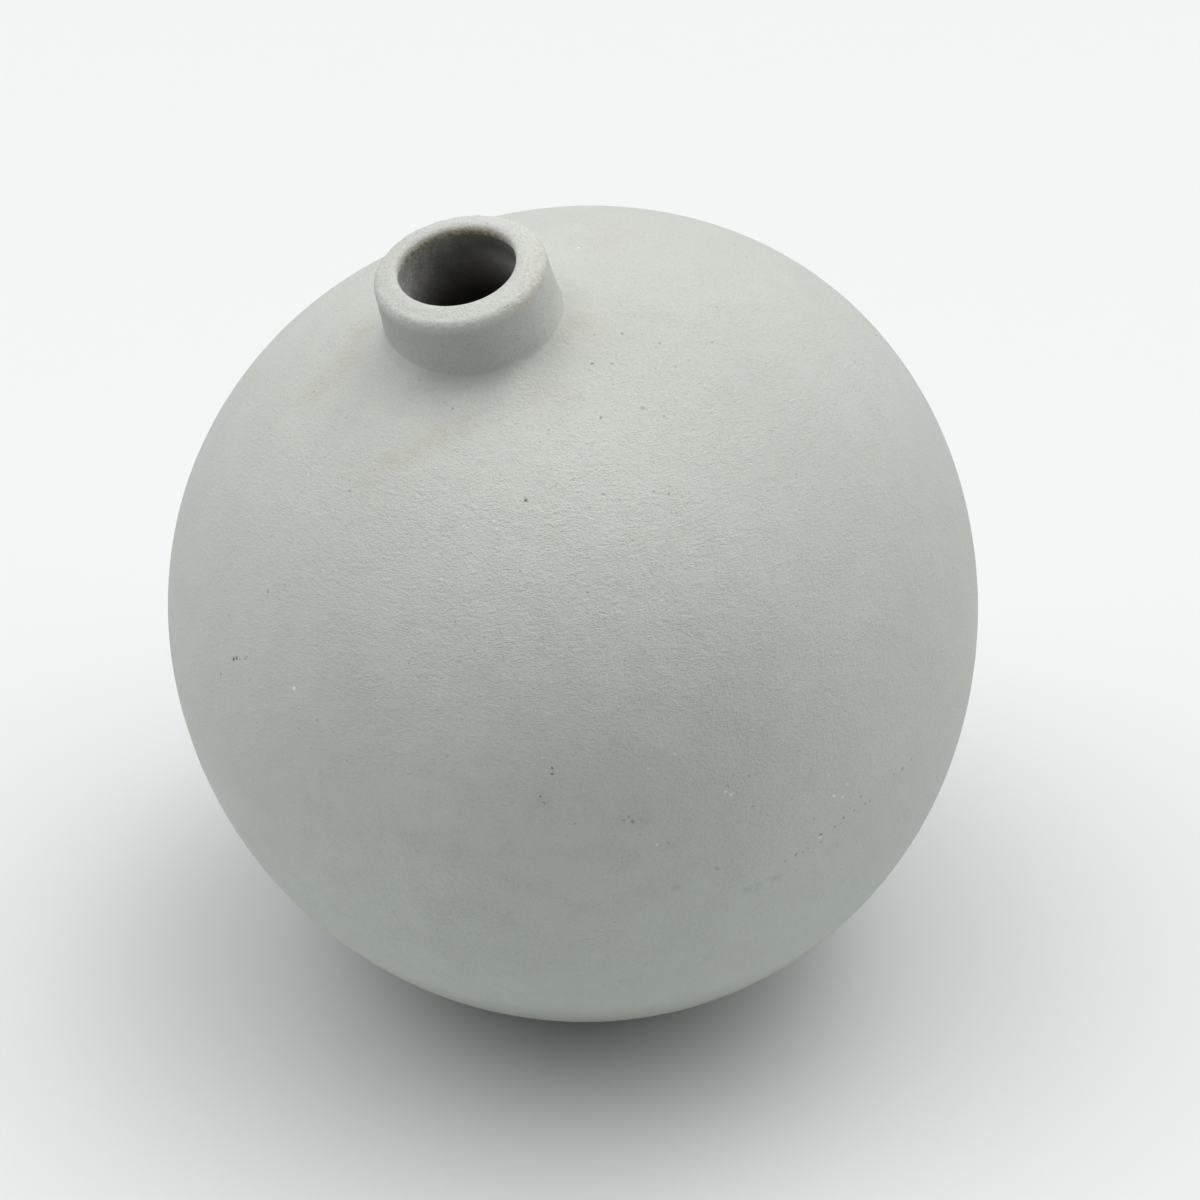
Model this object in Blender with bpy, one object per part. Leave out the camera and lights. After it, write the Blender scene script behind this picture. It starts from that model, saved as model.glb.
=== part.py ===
# Ball vase: a hollow stoneware sphere on a small flat foot, with a short
# skewed neck. Two shells are joined by a ring of slip, the neck collar sits
# in a round hole in the upper shell on a luting fillet, and a thin glaze
# lines the cavity.
#
# Units are metres, +Z is up, the origin is the middle of the foot on the
# surface that the vase stands on. The neck leans towards -Y.

import math

import bmesh
import bpy
from mathutils import Matrix, Vector

# ---------------------------------------------------------------- dimensions
BALL_R = 0.1000          # outside radius of the ball
WALL = 0.0055            # thickness of the shell
FOOT_R = 0.0380          # radius at which the ball would meet the table
FOOT_EDGE = 0.0372       # outer radius of the flat foot ring
FOOT_INNER = 0.0290      # inner radius of the flat foot ring
FOOT_RECESS = 0.0015     # depth of the hollow inside the foot ring
FLOOR_Z = 0.0065         # height of the cavity floor above the table

NECK_TILT = math.radians(22.0)   # lean of the neck from upright
BORE_R = 0.0116          # radius of the opening
RIM_R = 0.0170           # outer radius of the neck at the rim
ROOT_R = 0.0178          # outer radius of the neck where it meets the ball
RIM_DIST = 0.1126        # ball centre to the middle of the rim face
RIM_LEAN_X = 0.0522      # slope of the rim face across the lean
RIM_LEAN_Y = 0.0460      # slope of the rim face along the lean
LIP_ROUND = 0.0016       # radius of the rim's outer edge
SPIGOT_R = 0.0152        # part of the collar that sits in the shell's hole

SEAM_TILT = math.radians(14.0)   # lean of the joint between the two shells
SEAM_SWING = math.radians(235.8)  # side to which the joint's normal leans
SEAM_HALF = 0.0006       # half the thickness of the slip between the shells

FILLET_R = 0.0222        # toe of the luting fillet on the ball
FILLET_TOP = 0.0036      # height of the luting fillet up the neck

GLAZE = 0.0008           # thickness of the glaze lining
GAP = 0.0003             # clearance between neighbouring pieces

SIDES = 48               # points round every ring
ROWS_LOW = 9             # rows of faces from foot to joint
ROWS_UP = 10             # rows of faces from joint to neck

BALL_IN = BALL_R - WALL
CENTRE_Z = math.sqrt(BALL_R ** 2 - FOOT_R ** 2)

# --------------------------------------------------------------- clean start
for old in list(bpy.data.objects):
    bpy.data.objects.remove(old, do_unlink=True)


# ------------------------------------------------------------------ materials
def clay(name, colour, roughness):
    mat = bpy.data.materials.new(name)
    mat.use_nodes = True
    bsdf = mat.node_tree.nodes["Principled BSDF"]
    bsdf.inputs["Base Color"].default_value = (*colour, 1.0)
    bsdf.inputs["Roughness"].default_value = roughness
    bsdf.inputs["Metallic"].default_value = 0.0
    mat.diffuse_color = (*colour, 1.0)
    return mat


# --------------------------------------------------------------------- frames
SEAM_NORMAL = Vector((math.sin(SEAM_TILT) * math.cos(SEAM_SWING),
                      math.sin(SEAM_TILT) * math.sin(SEAM_SWING),
                      math.cos(SEAM_TILT)))
SEAM_ROT = Vector((0, 0, 1)).rotation_difference(SEAM_NORMAL).to_matrix()
NECK_ROT = Matrix.Rotation(NECK_TILT, 3, "X")
UPRIGHT = Matrix.Identity(3)
ANGLES = [2.0 * math.pi * i / SIDES for i in range(SIDES)]


def circle(rot, latitude):
    """Directions from the ball centre to a circle at a latitude about rot's Z."""
    c, s = math.cos(latitude), math.sin(latitude)
    return [rot @ Vector((c * math.cos(a), c * math.sin(a), s)) for a in ANGLES]


def along(start, end, t):
    """Directions part of the way along the great arcs from start to end."""
    return [a.slerp(b, t) for a, b in zip(start, end)]


def scaled(directions, radius):
    return [d * radius for d in directions]


def flat_ring(radius, z):
    """A level ring, with z measured from the table."""
    return [Vector((radius * math.cos(a), radius * math.sin(a), z - CENTRE_Z))
            for a in ANGLES]


def turned_ring(radius, height, lean=0.0):
    """A ring about the neck's own Z, its height sheared by the rim's slope."""
    return [Vector((radius * math.cos(a), radius * math.sin(a),
                    height - lean * radius * (RIM_LEAN_X * math.cos(a)
                                              + RIM_LEAN_Y * math.sin(a))))
            for a in ANGLES]


def ball_height(radius, ball):
    """Height above the ball centre of a sphere at a distance from its axis."""
    return math.sqrt(ball * ball - radius * radius)


# ------------------------------------------------------------------- skinning
def skin(name, rings, material, closed=False, first=None, last=None, parent=None):
    """Join rings of equal count with quads. closed joins the last ring to the
    first; first and last are points that close the two ends with fans."""
    bm = bmesh.new()
    rows = [[bm.verts.new(p) for p in ring] for ring in rings]
    pairs = list(zip(rows, rows[1:]))
    if closed:
        pairs.append((rows[-1], rows[0]))
    for low, high in pairs:
        for i in range(SIDES):
            j = (i + 1) % SIDES
            bm.faces.new((low[i], low[j], high[j], high[i]))
    if first is not None:
        tip = bm.verts.new(first)
        for i in range(SIDES):
            bm.faces.new((tip, rows[0][(i + 1) % SIDES], rows[0][i]))
    if last is not None:
        tip = bm.verts.new(last)
        for i in range(SIDES):
            bm.faces.new((tip, rows[-1][i], rows[-1][(i + 1) % SIDES]))
    bmesh.ops.recalc_face_normals(bm, faces=bm.faces)
    if bm.calc_volume(signed=True) < 0.0:
        bmesh.ops.reverse_faces(bm, faces=bm.faces)
    mesh = bpy.data.meshes.new(name)
    bm.to_mesh(mesh)
    bm.free()
    mesh.materials.append(material)
    mesh.shade_smooth()
    mesh.set_sharp_from_angle(angle=math.radians(35.0))
    obj = bpy.data.objects.new(name, mesh)
    obj.parent = parent
    bpy.context.scene.collection.objects.link(obj)
    return obj


# -------------------------------------------------------------------- carriers
ball_centre = bpy.data.objects.new("ball_centre", None)
ball_centre.location = (0.0, 0.0, CENTRE_Z)
ball_centre.empty_display_size = 0.02
bpy.context.scene.collection.objects.link(ball_centre)

neck_axis = bpy.data.objects.new("neck_axis", None)
neck_axis.parent = ball_centre
neck_axis.rotation_euler = (NECK_TILT, 0.0, 0.0)
neck_axis.empty_display_size = 0.02
bpy.context.scene.collection.objects.link(neck_axis)

# ----------------------------------------------------- inside wall of the ball
# The same rows serve the shells and the lining, so the lining keeps an even
# clearance to the wall behind it.
floor_r = math.sqrt(BALL_IN ** 2 - (CENTRE_Z - FLOOR_Z) ** 2)
edge = SEAM_HALF + GAP
HOLE_R = SPIGOT_R + GAP

in_floor = circle(UPRIGHT, -math.acos(floor_r / BALL_IN))
in_seam_low = circle(SEAM_ROT, -edge / BALL_IN)
in_seam_high = circle(SEAM_ROT, edge / BALL_IN)
in_hole = circle(NECK_ROT, math.acos(HOLE_R / BALL_IN))

inner_low = [scaled(along(in_floor, in_seam_low, k / ROWS_LOW), BALL_IN)
             for k in range(ROWS_LOW + 1)]
inner_up = [scaled(along(in_seam_high, in_hole, k / ROWS_UP), BALL_IN)
            for k in range(ROWS_UP + 1)]
floor_rings = [flat_ring(floor_r * 0.35, FLOOR_Z), flat_ring(floor_r * 0.7, FLOOR_Z)]
floor_mid = Vector((0.0, 0.0, FLOOR_Z - CENTRE_Z))

# ------------------------------------------------------------------ lower shell
out_foot = circle(UPRIGHT, -math.acos(0.0386 / BALL_R))
out_seam_low = circle(SEAM_ROT, -edge / BALL_R)
outer_low = [scaled(along(out_foot, out_seam_low, k / ROWS_LOW), BALL_R)
             for k in range(ROWS_LOW + 1)]

lower_rings = [flat_ring(FOOT_INNER * 0.5, FOOT_RECESS),
               flat_ring(FOOT_INNER - 0.0012, FOOT_RECESS),
               flat_ring(FOOT_INNER, 0.0),
               flat_ring(FOOT_EDGE, 0.0)]
lower_rings += outer_low
lower_rings += list(reversed(inner_low))
lower_rings += list(reversed(floor_rings))
skin("lower_shell", lower_rings,
     clay("lower_clay", (0.505, 0.52, 0.49), 0.88),
     first=Vector((0.0, 0.0, FOOT_RECESS - CENTRE_Z)), last=floor_mid,
     parent=ball_centre)

# ------------------------------------------------------------------ upper shell
out_seam_high = circle(SEAM_ROT, edge / BALL_R)
out_hole = circle(NECK_ROT, math.acos(HOLE_R / BALL_R))
outer_up = [scaled(along(out_seam_high, out_hole, k / ROWS_UP), BALL_R)
            for k in range(ROWS_UP + 1)]
skin("upper_shell", outer_up + list(reversed(inner_up)),
     clay("upper_clay", (0.515, 0.53, 0.50), 0.88),
     closed=True, parent=ball_centre)

# ---------------------------------------------------------------- seam slip ring
half = SEAM_HALF
ring_rows = [scaled(circle(SEAM_ROT, -half / BALL_R), BALL_R),
             scaled(circle(SEAM_ROT, half / BALL_R), BALL_R),
             scaled(circle(SEAM_ROT, half / BALL_IN), BALL_IN),
             scaled(circle(SEAM_ROT, -half / BALL_IN), BALL_IN)]
skin("seam_slip_ring", ring_rows,
     clay("seam_slip", (0.51, 0.525, 0.495), 0.9),
     closed=True, parent=ball_centre)

# ------------------------------------------------------------------- neck collar
seat_ball = BALL_R + GAP
root_h = ball_height(ROOT_R, seat_ball)
wall_top = RIM_DIST - LIP_ROUND


def neck_radius(height):
    """Outer radius of the tapering neck wall."""
    t = (height - root_h) / (wall_top - root_h)
    return ROOT_R + (RIM_R - ROOT_R) * t


collar = [
    turned_ring(BORE_R, ball_height(BORE_R, BALL_IN)),
    turned_ring(BORE_R, 0.0985, 0.15),
    turned_ring(BORE_R, 0.1045, 0.55),
    turned_ring(BORE_R, RIM_DIST - 0.0009, 1.0),
]
for k in range(1, 4):           # small inner arris of the lip
    a = math.radians(90.0 * k / 3.0)
    collar.append(turned_ring(BORE_R + 0.0009 * (1.0 - math.cos(a)),
                              RIM_DIST - 0.0009 * (1.0 - math.sin(a)), 1.0))
for k in range(0, 5):           # outer rounding of the lip
    a = math.radians(90.0 * k / 4.0)
    collar.append(turned_ring(RIM_R - LIP_ROUND * (1.0 - math.sin(a)),
                              wall_top + LIP_ROUND * math.cos(a), 1.0))
for height, lean in ((0.1062, 0.65), (0.1026, 0.3), (0.1002, 0.1)):
    collar.append(turned_ring(neck_radius(height), height, lean))
collar += [
    turned_ring(ROOT_R, root_h),
    turned_ring(SPIGOT_R, ball_height(SPIGOT_R, seat_ball)),
    turned_ring(SPIGOT_R, ball_height(SPIGOT_R, BALL_IN)),
]
skin("neck_collar", collar,
     clay("neck_clay", (0.53, 0.54, 0.51), 0.86),
     closed=True, parent=neck_axis)

# -------------------------------------------------------------- neck slip fillet
# A luting coil smoothed into a hollow curve round the root of the neck.
in_r = ROOT_R + GAP
top_h = root_h + FILLET_TOP
top_r = neck_radius(top_h) + GAP + 0.0001
toe_h = ball_height(FILLET_R, seat_ball)
fillet = [turned_ring(in_r, ball_height(in_r, seat_ball)),
          turned_ring((in_r + FILLET_R) / 2.0,
                      ball_height((in_r + FILLET_R) / 2.0, seat_ball)),
          turned_ring(FILLET_R, toe_h)]
crest_r = top_r + 0.0004
for k in range(0, 6):
    a = math.radians(90.0 * k / 5.0)
    fillet.append(turned_ring(
        FILLET_R - (FILLET_R - crest_r) * math.sin(a),
        toe_h + 0.0003 + (top_h - toe_h - 0.0003) * (1.0 - math.cos(a))))
fillet.append(turned_ring(top_r, top_h))
skin("neck_slip_fillet", fillet,
     clay("fillet_slip", (0.51, 0.525, 0.495), 0.9),
     closed=True, parent=neck_axis)

# ------------------------------------------------------------------ glaze lining
lip = scaled(circle(NECK_ROT, math.acos(0.0132 / BALL_IN)), BALL_IN)
wall_rows = floor_rings + inner_low + inner_up + [lip]
outer_scale = (BALL_IN - GAP) / BALL_IN
inner_scale = (BALL_IN - GAP - GLAZE) / BALL_IN
film_out = [[p * outer_scale for p in ring] for ring in wall_rows]
film_in = [[p * inner_scale for p in ring] for ring in wall_rows]
skin("glaze_liner", film_out + list(reversed(film_in)),
     clay("liner_glaze", (0.11, 0.107, 0.094), 0.35),
     first=floor_mid * outer_scale, last=floor_mid * inner_scale,
     parent=ball_centre)
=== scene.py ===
# Looks of the ball vase: a matte, sandy stoneware ball with a short tilted neck.
# The shells, neck, slip and lining are dense meshes that share one outer skin,
# so the fired joints don't show, and each piece stands for one CAD node.

import math

import bpy
import numpy as np
from mathutils import Matrix, Vector


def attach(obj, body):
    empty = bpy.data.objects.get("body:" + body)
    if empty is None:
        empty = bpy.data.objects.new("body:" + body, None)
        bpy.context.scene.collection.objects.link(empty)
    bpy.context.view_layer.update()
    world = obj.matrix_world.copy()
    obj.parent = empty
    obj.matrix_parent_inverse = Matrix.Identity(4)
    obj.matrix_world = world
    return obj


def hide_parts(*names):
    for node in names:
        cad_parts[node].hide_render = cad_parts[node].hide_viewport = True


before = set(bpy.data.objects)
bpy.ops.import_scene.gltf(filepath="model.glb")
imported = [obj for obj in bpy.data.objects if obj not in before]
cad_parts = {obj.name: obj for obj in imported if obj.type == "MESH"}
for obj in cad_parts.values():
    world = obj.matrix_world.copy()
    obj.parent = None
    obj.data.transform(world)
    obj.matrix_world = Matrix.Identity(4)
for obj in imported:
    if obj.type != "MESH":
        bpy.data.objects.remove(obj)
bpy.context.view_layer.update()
scene = bpy.context.scene

# ------------------------------------------------------------- sizes, as in CAD
MM = 0.001
BALL_R = 100.0 * MM
WALL = 5.5 * MM
FOOT_R = 38.0 * MM
FOOT_EDGE = 37.2 * MM
FOOT_INNER = 29.0 * MM
FOOT_RECESS = 1.5 * MM
FLOOR_Z = 6.5 * MM
NECK_TILT = math.radians(22.0)
BORE_R = 11.6 * MM
RIM_R = 17.0 * MM
ROOT_R = 17.8 * MM
RIM_DIST = 112.6 * MM
RIM_LEAN = (0.0522, 0.0460)
SPIGOT_R = 15.2 * MM
SEAM_TILT = math.radians(14.0)
SEAM_SWING = math.radians(235.8)
SEAM_HALF = 0.6 * MM
GLAZE = 0.8 * MM
GAP = 0.3 * MM
BALL_IN = BALL_R - WALL
CENTRE = np.array([0.0, 0.0, math.sqrt(BALL_R ** 2 - FOOT_R ** 2)])

# ----------------------------------------------------------------------- camera
# The view of the photograph: 33 degrees down, 31 degrees round from the side
# that the neck leans to, from 3.6 ball radii, so the perspective is strong.
AZIMUTH = math.radians(30.9)
ELEVATION = math.radians(33.0)
DISTANCE = 3.6 * BALL_R
FRAME_PX = 1200.0
BALL_PX = 407.4                       # radius of the ball in the frame
BALL_AT = (576.5, 611.0)              # its middle in the frame
FOCAL_PX = BALL_PX * math.sqrt((DISTANCE / BALL_R) ** 2 - 1.0)

sa, ca = math.sin(AZIMUTH), math.cos(AZIMUTH)
se, ce = math.sin(ELEVATION), math.cos(ELEVATION)
FORWARD = np.array([-sa * ce, ca * ce, -se])
RIGHT = np.array([ca, sa, 0.0])
UP = np.array([-sa * se, ca * se, ce])

cam_data = bpy.data.cameras.new("camera")
cam_data.sensor_width = 36.0
cam_data.sensor_fit = "HORIZONTAL"
cam_data.lens = 36.0 * FOCAL_PX / FRAME_PX
cam_data.clip_start = 0.01
cam_data.clip_end = 50.0
cam = bpy.data.objects.new("camera", cam_data)
scene.collection.objects.link(cam)
ray = np.array([(BALL_AT[0] - 600.0) / FOCAL_PX, (BALL_AT[1] - 600.0) / FOCAL_PX, 1.0])
ray /= np.linalg.norm(ray)
CAM_AT = CENTRE - DISTANCE * (ray[0] * RIGHT - ray[1] * UP + ray[2] * FORWARD)
cam.matrix_world = Matrix((
    (RIGHT[0], UP[0], -FORWARD[0], CAM_AT[0]),
    (RIGHT[1], UP[1], -FORWARD[1], CAM_AT[1]),
    (RIGHT[2], UP[2], -FORWARD[2], CAM_AT[2]),
    (0.0, 0.0, 0.0, 1.0)))
scene.camera = cam

# ------------------------------------------------------------------------ frames
NECK_ROT = np.array(Matrix.Rotation(NECK_TILT, 3, "X"))
SEAM_NORMAL = Vector((math.sin(SEAM_TILT) * math.cos(SEAM_SWING),
                      math.sin(SEAM_TILT) * math.sin(SEAM_SWING),
                      math.cos(SEAM_TILT)))
SEAM_ROT = np.array(Vector((0, 0, 1)).rotation_difference(SEAM_NORMAL).to_matrix())
UPRIGHT = np.eye(3)
NECK_AXIS = NECK_ROT[:, 2]

SIDES = 640
PHI = np.arange(SIDES) * (2.0 * math.pi / SIDES)
COS, SIN = np.cos(PHI), np.sin(PHI)


def smooth(low, high, x):
    t = np.clip((x - low) / (high - low), 0.0, 1.0)
    return t * t * (3.0 - 2.0 * t)


# --------------------------------------------------------- seeded gradient noise
def _mix(ix, iy, iz, seed):
    h = (ix.astype(np.uint32) * np.uint32(374761393)
         + iy.astype(np.uint32) * np.uint32(668265263)
         + iz.astype(np.uint32) * np.uint32(2147483647 - 1640531535 % 2147483647)
         + np.uint32(seed * 1274126177 % (1 << 32)))
    h ^= h >> np.uint32(13)
    h *= np.uint32(1274126177)
    h ^= h >> np.uint32(16)
    h *= np.uint32(2246822519)
    h ^= h >> np.uint32(13)
    return h


def noise(p, size, seed):
    """Smooth noise in about -1..1 with features of a given size, at points p."""
    q = p / size
    i = np.floor(q).astype(np.int64)
    f = q - i
    u = f * f * f * (f * (f * 6.0 - 15.0) + 10.0)
    total = np.zeros(p.shape[:-1])
    for dx in (0, 1):
        for dy in (0, 1):
            for dz in (0, 1):
                h = _mix(i[..., 0] + dx, i[..., 1] + dy, i[..., 2] + dz, seed)
                g = np.stack([(h & np.uint32(1023)).astype(float),
                              ((h >> np.uint32(10)) & np.uint32(1023)).astype(float),
                              ((h >> np.uint32(20)) & np.uint32(1023)).astype(float)],
                             -1) / 511.5 - 1.0
                d = (g[..., 0] * (f[..., 0] - dx) + g[..., 1] * (f[..., 1] - dy)
                     + g[..., 2] * (f[..., 2] - dz))
                w = ((u[..., 0] if dx else 1.0 - u[..., 0])
                     * (u[..., 1] if dy else 1.0 - u[..., 1])
                     * (u[..., 2] if dz else 1.0 - u[..., 2]))
                total += w * d
    return total * 1.3


# ------------------------------------------------------------- rings of the skin
def circle(rot, latitude):
    c, s = math.cos(latitude), math.sin(latitude)
    return np.stack([c * COS, c * SIN, np.full(SIDES, s)], -1) @ rot.T


def arc(a, b, t):
    """Directions part of the way along the great arcs from a to b."""
    w = np.arccos(np.clip((a * b).sum(-1), -1.0, 1.0))[:, None]
    return (np.sin((1.0 - t) * w) * a + np.sin(t * w) * b) / np.sin(w)


# hand-cut neck: the mouth and the lip are not quite on one axis
BEHIND = np.array([-sa, ca, 0.0])
MOUTH_AT = ((-0.20 * MM * RIGHT - 0.35 * MM * BEHIND) @ NECK_ROT)[:2]
LIP_AT = ((0.28 * MM * RIGHT - 0.95 * MM * BEHIND) @ NECK_ROT)[:2]
NO_SHIFT = np.zeros(2)


def neck_ring(r, h, lean, off=NO_SHIFT):
    """A ring about the neck's axis, moved aside by off; r and h may vary round it."""
    r = np.broadcast_to(np.asarray(r, float), (SIDES,))
    h = np.broadcast_to(np.asarray(h, float), (SIDES,))
    x, y = r * COS + off[0], r * SIN + off[1]
    z = h - lean * (RIM_LEAN[0] * x + RIM_LEAN[1] * y)
    return np.stack([x, y, z], -1) @ NECK_ROT.T


def level_ring(r, z):
    return np.stack([r * COS, r * SIN, np.full(SIDES, z - CENTRE[2])], -1)


def on_ball(r, ball):
    return np.sqrt(ball * ball - r * r)


# -------------------------------------------------- out-of-round shape of the ball
# The fired ball is a little three-cornered as seen in the photograph's view.
# Millimetres at the outline for each number of lobes: (cosine, sine); one lobe
# is a small sideways set of the ball under its neck.
LOBES = {1: (0.44, 0.0), 2: (-0.352, -0.034), 3: (-0.797, -0.454), 4: (-0.235, 0.149)}
RIM_SIN = math.sqrt(1.0 - (BALL_R / DISTANCE) ** 2)


def lobes(d):
    """Radial offset of the ball's skin in a direction from its middle."""
    z = d @ RIGHT - 1j * (d @ UP)
    off = np.zeros(d.shape[:-1])
    for n, (c, s) in LOBES.items():
        zn = z ** n / RIM_SIN ** n
        off += c * zn.real + s * zn.imag
    near_foot = np.degrees(np.arccos(np.clip(-d[..., 2], -1, 1)))
    near_neck = np.degrees(np.arccos(np.clip(d @ NECK_AXIS, -1, 1)))
    return off * MM * smooth(23.0, 46.0, near_foot) * smooth(13.0, 30.0, near_neck)


# ------------------------------------------------------ the outer skin, row by row
rows = []          # each (SIDES, 3), from the ball's middle
marks = {}         # row index at which each piece's skin starts


def add(ring):
    rows.append(ring)


# bore, from the cavity up to the lip
marks["bore"] = 0
wob = 0.10 * MM * np.cos(2 * PHI + 0.6) + 0.06 * MM * np.cos(3 * PHI + 2.0)
bore_low = on_ball(BORE_R, BALL_IN)
# the inner arris is tight in front and worn round at the back
ARRIS = (0.7 + 1.1 * smooth(-0.10, 0.75, np.cos(PHI - math.radians(128.0)))) * MM
for k in range(36):
    t = k / 35.0
    h = bore_low + (RIM_DIST - ARRIS - bore_low) * t
    add(neck_ring(BORE_R + 0.05 * MM * t + wob * t, h, smooth(0.0, 1.0, t), MOUTH_AT * smooth(0.0, 0.8, t)))
# tight inner arris
for k in range(1, 9):
    a = math.radians(90.0 * k / 8.0)
    add(neck_ring(BORE_R + 0.05 * MM + wob + ARRIS * (1.0 - math.cos(a)),
                  RIM_DIST - ARRIS * (1.0 - math.sin(a)), 1.0, MOUTH_AT))
marks["lip"] = len(rows) - 1
# broad top, slightly crowned
LIP_ROUND = 1.5 * MM
top_in, top_out = BORE_R + 0.05 * MM + ARRIS, RIM_R - LIP_ROUND
for k in range(1, 12):
    t = k / 12.0
    add(neck_ring(top_in + (top_out - top_in) * t + wob * (1.0 - t),
                  RIM_DIST + 0.05 * MM * math.sin(math.pi * t), 1.0, MOUTH_AT * (1.0 - t) + LIP_AT * t))
# rounded outer edge
wall_top = RIM_DIST - LIP_ROUND
for k in range(19):
    a = math.radians(90.0 * k / 18.0)
    add(neck_ring(RIM_R - LIP_ROUND * (1.0 - math.sin(a)),
                  wall_top + LIP_ROUND * math.cos(a), 1.0, LIP_AT))
# neck wall, down to where the fillet starts
fillet_r = (0.9 + 5.4 * (0.5 + 0.5 * np.cos(PHI - math.radians(215.0))) ** 2.4) * MM
root_r = ROOT_R + (-0.15 + 0.5 * (0.5 + 0.5 * np.cos(PHI - math.radians(300.0)))) * MM
cen_r = root_r + fillet_r
cen_h = np.sqrt((BALL_R + fillet_r) ** 2 - cen_r ** 2)
for k in range(1, 23):
    t = k / 22.0
    r = RIM_R + (root_r - RIM_R) * (0.75 * t + 0.25 * t * t)
    add(neck_ring(r, wall_top + (cen_h - wall_top) * t, 1.0 - smooth(0.0, 1.0, t), LIP_AT * (1.0 - t)))
marks["fillet"] = len(rows) - 1
# fillet, from the wall to the ball
end_a = np.arctan2(cen_h, cen_r)
for k in range(1, 17):
    t = k / 16.0
    a = math.pi + end_a * t        # from pointing at the neck to pointing at the ball
    add(neck_ring(cen_r + fillet_r * np.cos(a), cen_h + fillet_r * np.sin(a), 0.0))
marks["upper"] = len(rows) - 1
toe = rows[-1] / np.linalg.norm(rows[-1], axis=1, keepdims=True)

# upper half of the ball
EDGE = SEAM_HALF
seam_high = circle(SEAM_ROT, EDGE / BALL_R)
UP_ROWS = 134
for k in range(1, UP_ROWS + 1):
    d = arc(toe, seam_high, k / UP_ROWS)
    add(d * (BALL_R + lobes(d))[:, None])
marks["seam"] = len(rows) - 1
# slip between the halves
seam_low = circle(SEAM_ROT, -EDGE / BALL_R)
for k in range(1, 3):
    d = arc(seam_high, seam_low, k / 2.0)
    add(d * (BALL_R + lobes(d))[:, None])
marks["lower"] = len(rows) - 1
# lower half of the ball
foot_lat = -math.acos(38.6 * MM / BALL_R)
foot_dir = circle(UPRIGHT, foot_lat)
LOW_ROWS = 108
for k in range(1, LOW_ROWS + 1):
    d = arc(seam_low, foot_dir, k / LOW_ROWS)
    add(d * (BALL_R + lobes(d))[:, None])
# rounded edge of the foot, foot ring and hollow
edge_z = CENTRE[2] + rows[-1][0, 2]
for k in range(1, 6):
    t = k / 5.0
    add(level_ring(38.6 * MM + (FOOT_EDGE - 38.6 * MM) * t, edge_z * (1.0 - t) ** 1.6))
marks["foot_flat"] = len(rows) - 1
for k in range(1, 9):
    add(level_ring(FOOT_EDGE + (FOOT_INNER - FOOT_EDGE) * k / 8.0, 0.0))
for k in range(1, 5):
    t = k / 4.0
    add(level_ring(FOOT_INNER - 1.2 * MM * t, FOOT_RECESS * smooth(0.0, 1.0, t)))
for k in range(1, 7):
    add(level_ring((FOOT_INNER - 1.2 * MM) * (1.0 - k / 7.0), FOOT_RECESS))
marks["end"] = len(rows) - 1

skin = np.array(rows) + CENTRE


def grid_normals(g):
    """Normals of a grid of rings, from the slopes along and round it."""
    along = np.empty_like(g)
    along[1:-1] = g[2:] - g[:-2]
    along[0], along[-1] = g[1] - g[0], g[-1] - g[-2]
    round_ = np.roll(g, -1, 1) - np.roll(g, 1, 1)
    n = np.cross(along, round_)
    return n / np.maximum(np.linalg.norm(n, axis=-1, keepdims=True), 1e-12)


normals = grid_normals(skin)
mid_row = marks["seam"] - 40
if ((skin[mid_row] - CENTRE) * normals[mid_row]).sum() < 0:
    normals = -normals

# hand-finished surface: broad undulation and fine lumps, in the mesh itself
relief = (0.12 * noise(skin, 0.042, 11) + 0.040 * noise(skin, 0.017, 12)
          + 0.020 * noise(skin, 0.0062, 13) + 0.018 * noise(skin, 0.0031, 14)) * MM
keep = np.ones(len(skin))
keep[marks["foot_flat"] - 5:] = 0.0
keep[marks["foot_flat"] - 25:marks["foot_flat"] - 5] = np.linspace(1.0, 0.0, 20)
neck_zone = np.arange(len(skin)) < marks["fillet"]
relief *= np.where(neck_zone, 0.55, 1.0)[:, None] * keep[:, None]
# the lip's outer edge is a little dented
lip_mid = marks["lip"] + 18
edge_share = np.exp(-((np.arange(len(skin)) - lip_mid) / 7.0) ** 2)
relief += edge_share[:, None] * (0.13 * noise(skin, 0.0036, 15) + 0.080 * noise(skin, 0.0016, 16)) * MM
skin = skin + normals * relief[..., None]
normals = grid_normals(skin)
if ((skin[mid_row] - CENTRE) * normals[mid_row]).sum() < 0:
    normals = -normals

# ------------------------------------------------------------ inner walls (hidden)
floor_r = math.sqrt(BALL_IN ** 2 - (CENTRE[2] - FLOOR_Z) ** 2)
in_floor = circle(UPRIGHT, -math.acos(floor_r / BALL_IN))
in_seam_low = circle(SEAM_ROT, -SEAM_HALF / BALL_IN)
in_seam_high = circle(SEAM_ROT, SEAM_HALF / BALL_IN)
in_hole = circle(NECK_ROT, math.acos((SPIGOT_R + 0.02 * MM) / BALL_IN))
IN_ROWS = 14
inner_up = [arc(in_hole, in_seam_high, k / IN_ROWS) * BALL_IN + CENTRE
            for k in range(IN_ROWS + 1)]
inner_low = [arc(in_seam_low, in_floor, k / IN_ROWS) * BALL_IN + CENTRE
             for k in range(IN_ROWS + 1)]
floor_rings = [level_ring(floor_r * t, FLOOR_Z) + CENTRE for t in (0.72, 0.44, 0.16)]


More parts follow.
